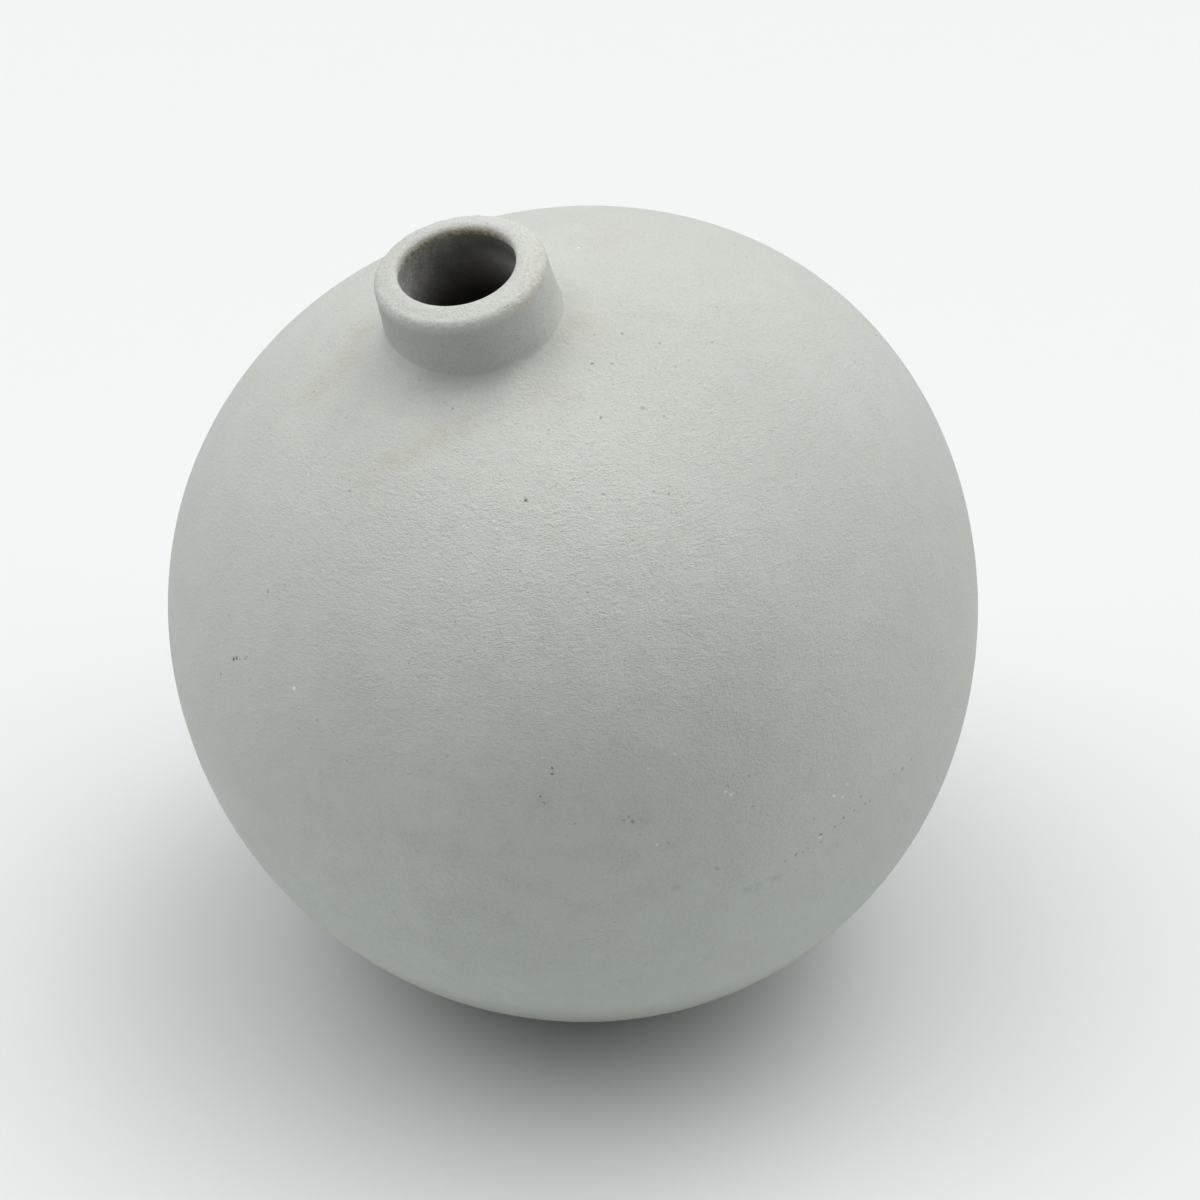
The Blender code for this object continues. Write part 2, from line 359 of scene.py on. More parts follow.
# ------------------------------------------------------------------------- meshes
def make(name, rings, outer_rows, outer_normals, open_at=None):
    """A closed mesh from rings in order round its section, the last one joined to
    the first. Between ring open_at and the next the section ends at the axis: both
    rings are filled with fans. The first outer_rows rings are the visible skin and
    take its shared normals."""
    g = np.array(rings)
    n_rows = len(g)
    idx = np.arange(n_rows * SIDES).reshape(n_rows, SIDES)
    nxt = np.roll(idx, -1, 1)
    quads = np.concatenate([np.stack([idx[k], idx[(k + 1) % n_rows], nxt[(k + 1) % n_rows], nxt[k]], -1)
                            for k in range(n_rows) if k != open_at])
    verts = g.reshape(-1, 3)
    fans = np.zeros((0, 3), int)
    if open_at is not None:
        a, b = open_at, open_at + 1
        middle = len(verts)
        verts = np.concatenate([verts, g[a].mean(0)[None], g[b].mean(0)[None]])
        fans = np.concatenate([np.stack([idx[a], np.full(SIDES, middle), nxt[a]], -1),
                               np.stack([nxt[b], np.full(SIDES, middle + 1), idx[b]], -1)])
    # outward winding, judged by the signed volume
    v = verts - verts.mean(0)
    tri = np.concatenate([quads[:, [0, 1, 2]], quads[:, [0, 2, 3]], fans])
    volume = np.einsum("ij,ij->i", v[tri[:, 0]], np.cross(v[tri[:, 1]], v[tri[:, 2]])).sum()
    if volume < 0:
        quads, fans = quads[:, ::-1], fans[:, ::-1]
    mesh = bpy.data.meshes.new(name)
    mesh.vertices.add(len(verts))
    mesh.vertices.foreach_set("co", verts.astype(np.float32).ravel())
    loops = np.concatenate([quads.ravel(), fans.ravel()]).astype(np.int32)
    sizes = np.concatenate([np.full(len(quads), 4), np.full(len(fans), 3)]).astype(np.int32)
    mesh.loops.add(len(loops))
    mesh.loops.foreach_set("vertex_index", loops)
    mesh.polygons.add(len(sizes))
    starts = np.concatenate([[0], np.cumsum(sizes)[:-1]]).astype(np.int32)
    mesh.polygons.foreach_set("loop_start", starts)
    mesh.update(calc_edges=True)
    mesh.validate()
    mesh.shade_smooth()
    mesh.set_sharp_from_angle(angle=math.radians(38.0))
    # shared skin normals, so that neighbouring pieces shade as one surface
    corner = np.empty(len(mesh.loops) * 3, np.float32)
    mesh.corner_normals.foreach_get("vector", corner)
    corner = corner.reshape(-1, 3)
    if outer_rows > 1:
        is_outer = np.zeros(len(sizes), bool)
        is_outer[: (outer_rows - 1) * SIDES] = True
        loop_outer = np.repeat(is_outer, sizes)
        flat = outer_normals.reshape(-1, 3)
        corner[loop_outer] = flat[loops[loop_outer]]
        mesh.normals_split_custom_set(corner)
    return mesh


def piece(name, mesh, node, material):
    obj = bpy.data.objects.new(name, mesh)
    scene.collection.objects.link(obj)
    mesh.materials.append(material)
    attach(obj, "root")
    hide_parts(node)
    return obj


def disc_uv(mesh, rings, places):
    """Bake map: each run of rings is a disc or a band, laid out apart.
    places is [(first row, last row, centre u, centre v, radius at first, radius at last)];
    a run's first or last ring may be filled by a fan, which takes the run's middle."""
    uv = mesh.uv_layers.new(name="OFBake")
    n_rows = len(rings)
    loops = np.empty(len(mesh.loops), np.int32)
    mesh.loops.foreach_get("vertex_index", loops)
    row, col = loops // SIDES, loops % SIDES
    is_mid = loops >= n_rows * SIDES
    out = np.zeros((len(loops), 2), np.float32)
    totals = np.empty(len(mesh.polygons), np.int32)
    mesh.polygons.foreach_get("loop_total", totals)
    face = np.repeat(np.arange(len(totals)), totals)
    face_low = np.full(len(totals), 10 ** 6)
    np.minimum.at(face_low, face, row)
    face_high = np.zeros(len(totals), int)
    np.maximum.at(face_high, face, np.where(is_mid, 0, row))
    face_fan = np.zeros(len(totals), bool)
    np.logical_or.at(face_fan, face, is_mid)
    g = np.array(rings)
    step = np.linalg.norm(np.diff(g, axis=0), axis=-1).mean(1)
    length = np.concatenate([[0.0], np.cumsum(step)])
    joins = (face_low == 0) & (face_high == n_rows - 1) & ~face_fan
    for first, last, cu, cv, r0, r1 in places:
        if last == n_rows:                # the band that joins the last ring to the first
            sel, t = joins, np.where(row == 0, 1.0, 0.0)
        else:
            sel = (face_low >= first) & (face_high <= last) & ~joins
            t = (length[np.clip(row, first, last)] - length[first]) / max(length[last] - length[first], 1e-9)
        use = sel[face]
        rad = np.where(is_mid, 0.0, r0 + (r1 - r0) * t)
        out[use, 0] = (cu + rad * np.cos(PHI[np.where(is_mid, 0, col)]))[use]
        out[use, 1] = (cv + rad * np.sin(PHI[np.where(is_mid, 0, col)]))[use]
    uv.data.foreach_set("uv", out.ravel())


# ---------------------------------------------------------------------- materials
def node(tree, kind, **values):
    n = tree.nodes.new(kind)
    for key, value in values.items():
        setattr(n, key, value)
    return n


class Graph:
    """Small helper to write node trees as expressions."""

    def __init__(self, tree):
        self.tree = tree
        self.coord = node(tree, "ShaderNodeTexCoord").outputs["Object"]

    def link(self, value, socket):
        if hasattr(value, "is_output"):
            self.tree.links.new(value, socket)
        else:
            socket.default_value = value

    def math(self, op, a, b=0.0, c=0.0, clamp=False):
        n = node(self.tree, "ShaderNodeMath", operation=op, use_clamp=clamp)
        for value, socket in zip((a, b, c), n.inputs):
            self.link(value, socket)
        return n.outputs[0]

    def vmath(self, op, a, b=(0, 0, 0)):
        n = node(self.tree, "ShaderNodeVectorMath", operation=op)
        self.link(a, n.inputs[0])
        self.link(b, n.inputs[1])
        return n.outputs["Value"] if op in ("DISTANCE", "DOT_PRODUCT", "LENGTH") else n.outputs["Vector"]

    def range(self, value, low, high, to_low=0.0, to_high=1.0, smooth_=True):
        n = node(self.tree, "ShaderNodeMapRange",
                 interpolation_type="SMOOTHSTEP" if smooth_ else "LINEAR", clamp=True)
        self.link(value, n.inputs["Value"])
        n.inputs["From Min"].default_value = low
        n.inputs["From Max"].default_value = high
        n.inputs["To Min"].default_value = to_low
        n.inputs["To Max"].default_value = to_high
        return n.outputs["Result"]

    def noise(self, size, detail=2.0, rough=0.5, at=None, distortion=0.0):
        n = node(self.tree, "ShaderNodeTexNoise", noise_dimensions="3D")
        self.link(self.coord if at is None else at, n.inputs["Vector"])
        n.inputs["Scale"].default_value = 1.0 / size
        n.inputs["Detail"].default_value = detail
        n.inputs["Roughness"].default_value = rough
        n.inputs["Distortion"].default_value = distortion
        return n.outputs["Fac"]

    def mix(self, fac, a, b, blend="MIX"):
        n = node(self.tree, "ShaderNodeMix", data_type="RGBA", blend_type=blend, clamp_factor=True)
        self.link(fac, n.inputs[0])
        self.link(a, n.inputs[6])
        self.link(b, n.inputs[7])
        return n.outputs[2]

    def cells(self, size):
        """Distance to the nearest of scattered points, in metres, and a random share."""
        n = node(self.tree, "ShaderNodeTexVoronoi", voronoi_dimensions="3D", feature="F1")
        self.link(self.coord, n.inputs["Vector"])
        n.inputs["Scale"].default_value = 1.0 / size
        split = node(self.tree, "ShaderNodeSeparateColor")
        self.tree.links.new(n.outputs["Color"], split.inputs[0])
        return self.math("MULTIPLY", n.outputs["Distance"], size), split.outputs[0]

    def wobble(self, size, reach):
        """The point, moved about a little, so that small marks aren't round."""
        n = node(self.tree, "ShaderNodeTexNoise", noise_dimensions="3D")
        self.link(self.coord, n.inputs["Vector"])
        n.inputs["Scale"].default_value = 1.0 / size
        n.inputs["Detail"].default_value = 1.0
        move = self.vmath("SUBTRACT", n.outputs["Color"], (0.5, 0.5, 0.5))
        scale = node(self.tree, "ShaderNodeVectorMath", operation="SCALE")
        self.link(move, scale.inputs[0])
        scale.inputs["Scale"].default_value = reach
        return self.vmath("ADD", self.coord, scale.outputs["Vector"])

    def spots(self, at, marks_, hard=0.5):
        """Greatest share of a list of round marks (longitude, latitude, radius mm, share)."""
        total = None
        for lon, lat, radius, share in marks_:
            c = ball_point(lon, lat)
            one = self.range(self.vmath("DISTANCE", at, tuple(c)), radius * MM * 1.3,
                             radius * MM * 1.3 * hard, 0.0, share)
            total = one if total is None else self.math("MAXIMUM", total, one)
        return total


def rgb(r, g, b):
    return (r, g, b, 1.0)


def ball_point(lon, lat):
    lon, lat = math.radians(lon), math.radians(lat)
    d = np.array([math.cos(lat) * math.cos(lon), math.cos(lat) * math.sin(lon), math.sin(lat)])
    return CENTRE + d * (BALL_R + float(lobes(d)))


# Marks of firing and handling, each (longitude, latitude on the ball in degrees,
# radius in mm, share). Pinholes and dark specks:
PINHOLES = (
    (-105.9, 18.1, .42, .95), (-105.3, 18.5, .36, .85), (-104.6, 18.7, .26, .55), (-103.6, 19.2, .28, .5),
    (-108.3, 15.0, .36, .5), (-102.2, 17.0, .25, .35), (-108.7, 22.6, .30, .3), (-102.1, 28.1, .32, .45),
    (-100.3, 28.8, .22, .35), (-110.9, 24.8, .28, .3), (-98.7, 30.1, .25, .3), (-90.1, 16.6, .26, .45),
    (-92.9, 14.6, .25, .3), (-41.0, 12.3, .30, .25), (-38.3, 12.9, .36, .25), (-38.0, 8.9, .27, .45),
    (-42.2, 1.4, .45, .3), (-31.8, -2.6, .30, .3), (-60.9, 16.3, .30, .75), (-60.9, 15.6, .27, .7),
    (-62.2, 12.9, .28, .6), (-61.8, 12.2, .27, .4), (-58.4, 9.6, .25, .35), (-52.0, 9.6, .40, .45),
    (-52.4, 10.2, .30, .35), (-53.0, 9.8, .35, .28), (-51.2, 9.8, .30, .28), (-48.0, 6.2, .35, .25),
    (-51.2, 7.8, .30, .25), (-65.55, 45.2, .30, .85), (-65.2, 45.1, .20, .5), (-65.85, 45.0, .18, .4),
    (-65.7, 45.55, .18, .45), (-53.7, 45.9, .25, .4), (-43.5, 45.3, .25, .4), (-45.8, 45.7, .28, .4),
    (-56.5, 35.4, .22, .45), (-68.8, 40.7, .30, .35), (-11.5, 66.4, .30, .35), (-44.3, 66.0, .28, .5),
    (-35.4, 63.8, .30, .35), (-21.9, 62.1, .35, .25), (-30.3, 60.7, .25, .3), (-53.6, 62.0, .30, .5),
    (-49.1, 61.8, .30, .35), (-53.0, 54.8, .28, .6), (-44.6, 55.6, .50, .28), (-41.0, 54.2, .30, .35),
    (-81.9, 54.8, .30, .45), (-58.3, 47.6, .25, .35), (-95.2, 43.6, .22, .5), (-94.3, 42.5, .30, .35),
    (-91.5, 45.7, .25, .35), (-115.1, 50.6, .28, .45), (-101.2, 56.2, .30, .35), (-99.5, 56.4, .25, .3))
# small pits along the joint of the shells
JOINT_PITS = (
    (-33.5, -.4, .35, .4), (-32.1, .05, .36, .5), (-31.1, 0.0, .33, .38), (-30.4, .3, .28, .35),
    (-28.65, 1.6, .33, .7), (-28.55, .4, .28, .5), (-26.55, 1.7, .34, .65), (-25.7, 1.8, .24, .4),
    (-25.3, 2.5, .32, .7), (-23.6, 2.7, .32, .35), (-21.8, 2.8, .40, .4), (-20.95, 2.8, .35, .4),
    (-22.6, 4.3, .40, .3), (-16.6, 4.35, .38, .3), (-14.8, 4.25, .40, .45), (-12.9, 4.5, .38, .3))
# pale chips and grains
CHIPS = (
    (-94.25, 19.05, .36, 1.), (-41.3, 11.55, .30, .7), (-40.6, 11.05, .34, .9), (-27.7, 9.5, .28, .7),
    (-24.85, 7.1, .30, .6), (-26.9, 6.4, .38, .8), (-25.6, 5.65, .34, .9), (-28.7, 1.1, .40, .5),
    (-49.3, 6.25, .33, .8), (-62.6, 2.85, .25, .4), (-50.1, 15.8, .30, .4), (-47.0, 17.1, .35, .5),
    (-51.9, 83.1, .28, .7), (-103.7, 42.3, .28, .7), (-103.4, 43.2, .20, .4), (-103.6, 44.1, .20, .3))
# faint yellow-brown stains round the neck's root and below it
STAINS = (
    (-55.8, 68.0, 5.0, .75), (-51.1, 66.4, 4.2, .5), (-60.7, 65.8, 3.2, .7), (-77.7, 53.05, 2.8, .6),
    (-82.3, 51.4, 2.8, .7), (-84.5, 50.1, 2.6, .65), (-86.3, 48.8, 3.0, 1.), (-89.3, 47.0, 3.2, .85),
    (-92.0, 44.5, 3.4, .4), (-65.6, 58.2, 4.2, .4), (-60.7, 57.7, 3.8, .35), (-118.1, 59.3, 5.2, .85),
    (-114.5, 55.4, 5.4, .8), (-115.5, 51.2, 4.8, .7), (-83.7, 37.8, 1.0, .6), (-77.5, 41.1, .9, .4),
    (-13.4, 66.5, .45, 1.), (-51.4, 9.4, 2.6, .35))
# soft grey rubs
RUBS = (
    (-34.4, -2.7, 1.5, .9), (-35.6, -2.6, 1.2, .6), (-36.9, -3.0, 1.7, .8), (-38.2, -3.1, 1.5, .7),
    (-47.2, -.2, 1.3, .9), (-50.1, 9.6, 1.0, .7), (-30.9, 51.4, .9, .6))


def seam_latitude(lon, lat):
    d = ball_point(lon, lat) - CENTRE
    return math.degrees(math.asin(float(d @ SEAM_ROT[:, 2]) / float(np.linalg.norm(d))))


def between(marks_, low, high):
    return tuple(k for k in marks_ if low <= seam_latitude(k[0], k[1]) <= high)


CLAY = (0.5175, 0.5295, 0.4965)


def clay_material(name, pinholes=(), chips=(), stains=(), rubs=(), neck=False, foot=False, grain_and_hollow_shade=0.30, root=False):
    mat = bpy.data.materials.new(name)
    mat.use_nodes = True
    tree = mat.node_tree
    bsdf = tree.nodes["Principled BSDF"]
    g = Graph(tree)
    bent = g.wobble(0.0007, 0.0005)

    # sand grains, their heights in mm
    long_ = g.vmath("MULTIPLY", g.coord, (1.0, 1.0, 1.85))
    fine = g.noise(0.00042, 2.0, 0.6, long_)
    coarse = g.noise(0.00118, 2.0, 0.5, long_)
    patch = g.range(g.noise(0.0075, 3.0, 0.6), 0.32, 0.68, 0.74, 1.20)
    patch = g.math("MULTIPLY", patch, g.range(g.vmath("DISTANCE", g.coord, tuple(ball_point(-62.0, 12.0))),
                                              0.080, 0.020, 0.86, 1.40))
    height = g.math("MULTIPLY", g.math("ADD", g.math("MULTIPLY", fine, 0.210),
                                       g.math("MULTIPLY", coarse, 0.185)), patch)

    # single larger grains that stand proud
    lump, size = g.cells(0.0031)
    lump = g.math("MULTIPLY", g.range(lump, 0.00052, 0.00008), g.math("MULTIPLY", g.math("POWER", size, 3.0), 0.10))
    height = g.math("ADD", height, lump)
    if neck:
        drag = g.vmath("MULTIPLY", g.coord, (1.0, 1.0, 0.45))
        height = g.math("ADD", height, g.math("MULTIPLY", g.noise(0.0017, 2.0, 0.6, drag), 0.22))

    # pale grey clay, faintly clouded; the hollows between the grains are painted darker, a painted shade
    colour = g.mix(g.range(g.noise(0.032, 3.0, 0.55), 0.33, 0.67),
                   rgb(*(c * 0.985 for c in CLAY)), rgb(*(c * 1.013 for c in CLAY)))
    colour = g.mix(g.range(g.noise(0.0042, 2.0, 0.5), 0.35, 0.65), colour,
                   g.mix(1.0, colour, rgb(1.004, 0.998, 0.999), "MULTIPLY"))
    # painted shade in the hollows between the grains
    hollow_shade = g.range(fine, 0.47, 0.25, 0.0, grain_and_hollow_shade)
    colour = g.mix(hollow_shade, colour, rgb(0.20, 0.20, 0.175))
    sand = g.noise(0.00030, 0.0, 0.5, long_)
    colour = g.mix(g.range(sand, 0.55, 0.76, 0.0, grain_and_hollow_shade), colour, rgb(0.66, 0.67, 0.64))
    grit, share = g.cells(0.0042)
    grit = g.math("MULTIPLY", g.range(grit, 0.00034, 0.00014), g.range(share, 0.0, 1.0, 0.05, 0.38, False))
    colour = g.mix(grit, colour, rgb(0.10, 0.098, 0.085))

    # stains, broken up by the grain
    cloud = g.range(g.noise(0.022, 3.0, 0.6), 0.60, 0.78, 0.0, 0.35)
    stain = g.spots(g.wobble(0.004, 0.004), stains, 0.1) if stains else None
    stain = cloud if stain is None else g.math("MAXIMUM", stain, cloud)
    stain = g.math("MULTIPLY", stain, g.range(g.noise(0.0016, 2.0, 0.6), 0.30, 0.62, 0.35, 1.0))
    colour = g.mix(stain, colour, g.mix(1.0, colour, rgb(0.935, 0.912, 0.845), "MULTIPLY"))
    if rubs:
        rub = g.math("MULTIPLY", g.spots(g.wobble(0.003, 0.002), rubs, 0.15),
                     g.range(g.noise(0.0015, 1.0, 0.5), 0.35, 0.60, 0.5, 1.0))
        colour = g.mix(rub, colour, g.mix(1.0, colour, rgb(0.84, 0.86, 0.85), "MULTIPLY"))
    if pinholes:
        hole = g.math("MULTIPLY", g.spots(bent, pinholes), 0.88)
        # and scattered ones on the far side
        pit, chance = g.cells(0.0080)
        beyond = g.range(g.vmath("DOT_PRODUCT", g.vmath("SUBTRACT", g.coord, tuple(CENTRE)), tuple(-FORWARD)), 0.022, 0.012)
        pit = g.math("MULTIPLY", g.range(pit, 0.00046, 0.00020, 0.0, 0.7), g.range(chance, 0.44, 0.46))
        hole = g.math("MAXIMUM", hole, g.math("MULTIPLY", pit, beyond))
        colour = g.mix(hole, colour, rgb(0.045, 0.046, 0.041))
        height = g.math("SUBTRACT", height, g.math("MULTIPLY", hole, 0.10))
    if chips:
        chip = g.spots(bent, chips)
        colour = g.mix(chip, colour, rgb(0.76, 0.76, 0.73))
        height = g.math("ADD", height, g.math("MULTIPLY", chip, 0.05))

    # painted light and shade: broad patches lighter or darker than the clay, standing in for light and shade
    # that the lamps don't give, and lighter below and beside the neck, painting out its shadow (longitude, latitude,
    # reach in mm, gain)
    for lon, lat, reach, gain in ((-59.0, 41.3, 51.5, 1.103), (-51.7, 21.3, 47.3, 0.917), (-99.4, 48.0, 34.6, 1.045),
                                  (0.0, 15.0, 75.0, 0.965),
                                  (-81.5, 57.6, 7.0, 1.10), (-72.0, 60.2, 8.0, 1.11), (-57.0, 67.8, 10.0, 1.08),
                                  (-92.5, 54.5, 14.0, 1.08)):
        painted_light_patch = g.range(g.vmath("DISTANCE", g.coord, tuple(ball_point(lon, lat))), reach * MM, reach * MM * 0.2)
        colour = g.mix(painted_light_patch, colour, g.mix(1.0, colour, rgb(gain, gain, gain), "MULTIPLY"))
    local = g.vmath("SUBTRACT", g.coord, tuple(CENTRE))
    # painted reflected light: below a slanting line it is a shade greener, standing in for greenish light bounced up
    # from below
    bounce_tint_height = g.vmath("DOT_PRODUCT", local, tuple(np.array([0.0, 0.0, 1.0]) - 0.15 * RIGHT))
    bounce_tint_height = g.math("ADD", bounce_tint_height, g.math("MULTIPLY", g.math("SUBTRACT", g.noise(0.020, 2.0, 0.5), 0.5), 0.010))
    colour = g.mix(g.range(bounce_tint_height, 0.0165, 0.0015), colour, g.mix(1.0, colour, rgb(1.0, 1.034, 1.016), "MULTIPLY"))
    if neck or root:
        risen = g.range(g.vmath("LENGTH", local), 0.1003, 0.1019)
    # painted shade: the fillet is darkened where it rises from the ball, less so on its broad side
    if root:
        broad = g.range(g.vmath("DOT_PRODUCT", local, tuple(NECK_ROT[:, 0] * math.cos(math.radians(215.0))
                                                            + NECK_ROT[:, 1] * math.sin(math.radians(215.0)))), 0.004, 0.018)
        root_shade = g.mix(broad, rgb(0.815, 0.822, 0.818), rgb(0.945, 0.948, 0.947))
        colour = g.mix(risen, colour, g.mix(1.0, colour, root_shade, "MULTIPLY"))
    if neck:
        x = g.math("SUBTRACT", g.vmath("DOT_PRODUCT", local, tuple(NECK_ROT[:, 0])), float(MOUTH_AT[0]))
        y = g.math("SUBTRACT", g.vmath("DOT_PRODUCT", local, tuple(NECK_ROT[:, 1])), float(MOUTH_AT[1]))
        r = g.math("SQRT", g.math("ADD", g.math("MULTIPLY", x, x), g.math("MULTIPLY", y, y)))
        # bare, dark clay in the bore. How far in from the lip's inner edge, in metres:
        z = g.vmath("DOT_PRODUCT", local, tuple(NECK_AXIS))
        top = g.vmath("DOT_PRODUCT", local, tuple(NECK_ROT[:, 0] * RIM_LEAN[0] + NECK_ROT[:, 1] * RIM_LEAN[1]))
        depth = g.math("SUBTRACT", g.math("SUBTRACT", RIM_DIST, z), top)
        into = g.math("SUBTRACT", depth, g.math("SUBTRACT", r, BORE_R + 0.05 * MM))
        # streaks that run in over the edge
        ring = node(tree, "ShaderNodeCombineXYZ")
        g.link(g.math("MULTIPLY", g.math("DIVIDE", x, r), BORE_R), ring.inputs[0])
        g.link(g.math("MULTIPLY", g.math("DIVIDE", y, r), BORE_R), ring.inputs[1])
        g.link(g.math("MULTIPLY", into, 0.55), ring.inputs[2])
        streak = g.math("SUBTRACT", g.noise(0.00085, 3.0, 0.7, ring.outputs[0]), 0.5)
        # on one side the coat is thin over the edge and shows ragged and brown
        thin = g.range(g.math("DIVIDE", g.math("ADD", g.math("MULTIPLY", x, math.cos(math.radians(130.0))),
                                               g.math("MULTIPLY", y, math.sin(math.radians(130.0)))), r), -0.05, 0.60)
        ragged = g.math("ADD", into, g.math("MULTIPLY", streak, 0.0042))
        brown = g.math("MULTIPLY", g.math("MULTIPLY", thin, g.range(ragged, -0.0011, 0.0009)), g.range(r, 0.0143, 0.0136))
        brown = g.math("MULTIPLY", brown, g.range(g.math("DIVIDE", x, r), 0.75, 0.0, 0.45, 1.0))
        umber = g.mix(g.range(streak, -0.10, 0.10), rgb(0.200, 0.178, 0.125), rgb(0.400, 0.372, 0.300))
        colour = g.mix(brown, colour, umber)
        bare_clay_light_shade = g.mix(g.range(g.noise(0.0030, 3.0, 0.6), 0.30, 0.70), rgb(0.250, 0.247, 0.229), rgb(0.330, 0.326, 0.304))
        # painted light and shade in the bore: on one side the wall is painted lighter some way down, where light falls
        # in; deeper in, all of it is painted darker, and so are the hollows between the grains
        lit_side = g.range(g.math("DIVIDE", x, r), -0.85, 0.10)
        bare_clay_light_shade = g.mix(lit_side, bare_clay_light_shade, g.mix(g.range(depth, 0.0035, 0.0085), rgb(0.165, 0.162, 0.140), rgb(0.570, 0.561, 0.515)))
        bare_clay_light_shade = g.mix(g.range(fine, 0.45, 0.28, 0.0, 0.55), bare_clay_light_shade, rgb(0.09, 0.088, 0.078))
        bare_clay_light_shade = g.mix(g.range(depth, 0.0045, 0.0180), bare_clay_light_shade, rgb(0.062, 0.060, 0.050))
        inner = g.math("SUBTRACT", g.math("ADD", into, g.math("MULTIPLY", streak, 0.0005)),
                       g.math("MULTIPLY", thin, 0.00120))
        inside = g.math("MULTIPLY", g.range(inner, 0.00025, 0.00055), g.range(r, 0.0136, 0.0131))
        colour = g.mix(inside, colour, bare_clay_light_shade)
        # the lip is rubbed to tan in places
        side = g.math("ADD", g.math("MULTIPLY", x, math.cos(math.radians(12.0))),
                      g.math("MULTIPLY", y, math.sin(math.radians(12.0))))
        wear = g.math("MULTIPLY", g.range(side, 0.0125, 0.0158), g.range(depth, 0.0030, 0.0014))
        wear = g.math("MULTIPLY", wear, g.range(g.noise(0.0009, 2.0, 0.6), 0.47, 0.62))
        colour = g.mix(g.math("MULTIPLY", wear, 0.8), colour, rgb(0.47, 0.435, 0.355))
        # painted light and shade: the lip and the top of the wall are painted lighter towards the back and darker at
        # the front, and the wall below the lip is painted darker, most on its front side
        outer = g.range(r, 0.0125, 0.0140)
        wall_shade = g.math("MULTIPLY", g.math("MULTIPLY", outer, risen), g.range(depth, 0.0006, 0.0030))
        shade = g.range(g.math("DIVIDE", g.math("ADD", g.math("MULTIPLY", x, math.cos(math.radians(270.0))),
                                                g.math("MULTIPLY", y, math.sin(math.radians(270.0)))), r), -0.1, 0.95)
        wall_shade = g.math("MULTIPLY", wall_shade, g.math("MULTIPLY_ADD", shade, 0.88, 0.12))
        far = g.range(g.math("DIVIDE", g.math("ADD", g.math("MULTIPLY", x, math.cos(math.radians(60.0))),
                                              g.math("MULTIPLY", y, math.sin(math.radians(60.0)))), r), -1.0, 1.0, smooth_=False)
        lip_light_tone = g.mix(far, rgb(0.930, 0.928, 0.930), rgb(1.110, 1.107, 1.105))
        colour = g.mix(wall_shade, g.mix(outer, colour, g.mix(1.0, colour, lip_light_tone, "MULTIPLY")),
                       g.mix(1.0, colour, rgb(0.728, 0.736, 0.728), "MULTIPLY"))
    if foot:
        # painted shade: the lower part is darkened towards the foot, down to 0.65 of its colour, where the contact
        # shade falls
        under = g.vmath("DOT_PRODUCT", local, (0.0, 0.0, 1.0))
        colour = g.mix(g.range(under, -0.041, -0.066), colour, g.mix(1.0, colour, rgb(0.65, 0.65, 0.64), "MULTIPLY"))
        # the foot ring is wiped bare before firing, and scuffed
        z = g.vmath("DOT_PRODUCT", g.coord, (0.0, 0.0, 1.0))
        wiped = g.range(g.math("ADD", z, g.math("MULTIPLY", g.math("SUBTRACT", g.noise(0.003, 2.0, 0.5), 0.5), 0.0012)),
                        0.0009, 0.0004)
        scuff = g.range(g.noise(0.0026, 3.0, 0.65), 0.52, 0.66, 0.0, 0.5)
        ring = g.mix(scuff, rgb(0.56, 0.525, 0.455), rgb(0.40, 0.385, 0.345))
        colour = g.mix(wiped, colour, ring)

    tree.links.new(colour, bsdf.inputs["Base Color"])
    bsdf.inputs["Roughness"].default_value = 0.88
    bsdf.inputs["Specular IOR Level"].default_value = 0.3
    bsdf.inputs["Sheen Weight"].default_value = 0.09
    bsdf.inputs["Sheen Roughness"].default_value = 0.45
    bump = node(tree, "ShaderNodeBump")
    bump.inputs["Strength"].default_value = 1.0
    bump.inputs["Distance"].default_value = MM
    tree.links.new(height, bump.inputs["Height"])
    tree.links.new(bump.outputs["Normal"], bsdf.inputs["Normal"])
    return mat


def glaze_material(name):
    mat = bpy.data.materials.new(name)
    mat.use_nodes = True
    tree = mat.node_tree
    bsdf = tree.nodes["Principled BSDF"]
    g = Graph(tree)
    cloud = g.noise(0.012, 3.0, 0.6)
    colour = g.mix(g.range(cloud, 0.3, 0.7), rgb(0.090, 0.087, 0.075), rgb(0.130, 0.126, 0.110))
    tree.links.new(colour, bsdf.inputs["Base Color"])
    bsdf.inputs["Roughness"].default_value = 0.35
    bump = node(tree, "ShaderNodeBump")
    bump.inputs["Strength"].default_value = 0.3
    bump.inputs["Distance"].default_value = 0.0003
    tree.links.new(g.noise(0.004, 2.0, 0.5), bump.inputs["Height"])
    tree.links.new(bump.outputs["Normal"], bsdf.inputs["Normal"])
    return mat


neck_clay = clay_material("neck_stoneware", neck=True, grain_and_hollow_shade=0.50)
fillet_clay = clay_material("fillet_stoneware", stains=STAINS[:3], root=True)
upper_clay = clay_material("upper_stoneware", between(PINHOLES + JOINT_PITS, 0.2, 90.0), between(CHIPS, 0.2, 90.0),
                           STAINS, between(RUBS, 0.2, 90.0))
slip_clay = clay_material("slip_stoneware", between(PINHOLES + JOINT_PITS, -0.8, 0.8), between(CHIPS, -0.8, 0.8))
lower_clay = clay_material("lower_stoneware", between(PINHOLES + JOINT_PITS, -90.0, -0.2),
                           between(CHIPS, -90.0, -0.2), (), between(RUBS, -90.0, -0.2), foot=True)
glaze = glaze_material("lining_glaze")

# ------------------------------------------------------------------------- pieces
m = marks


def span(first, last):
    return [skin[k] for k in range(first, last + 1)], normals[first:last + 1]


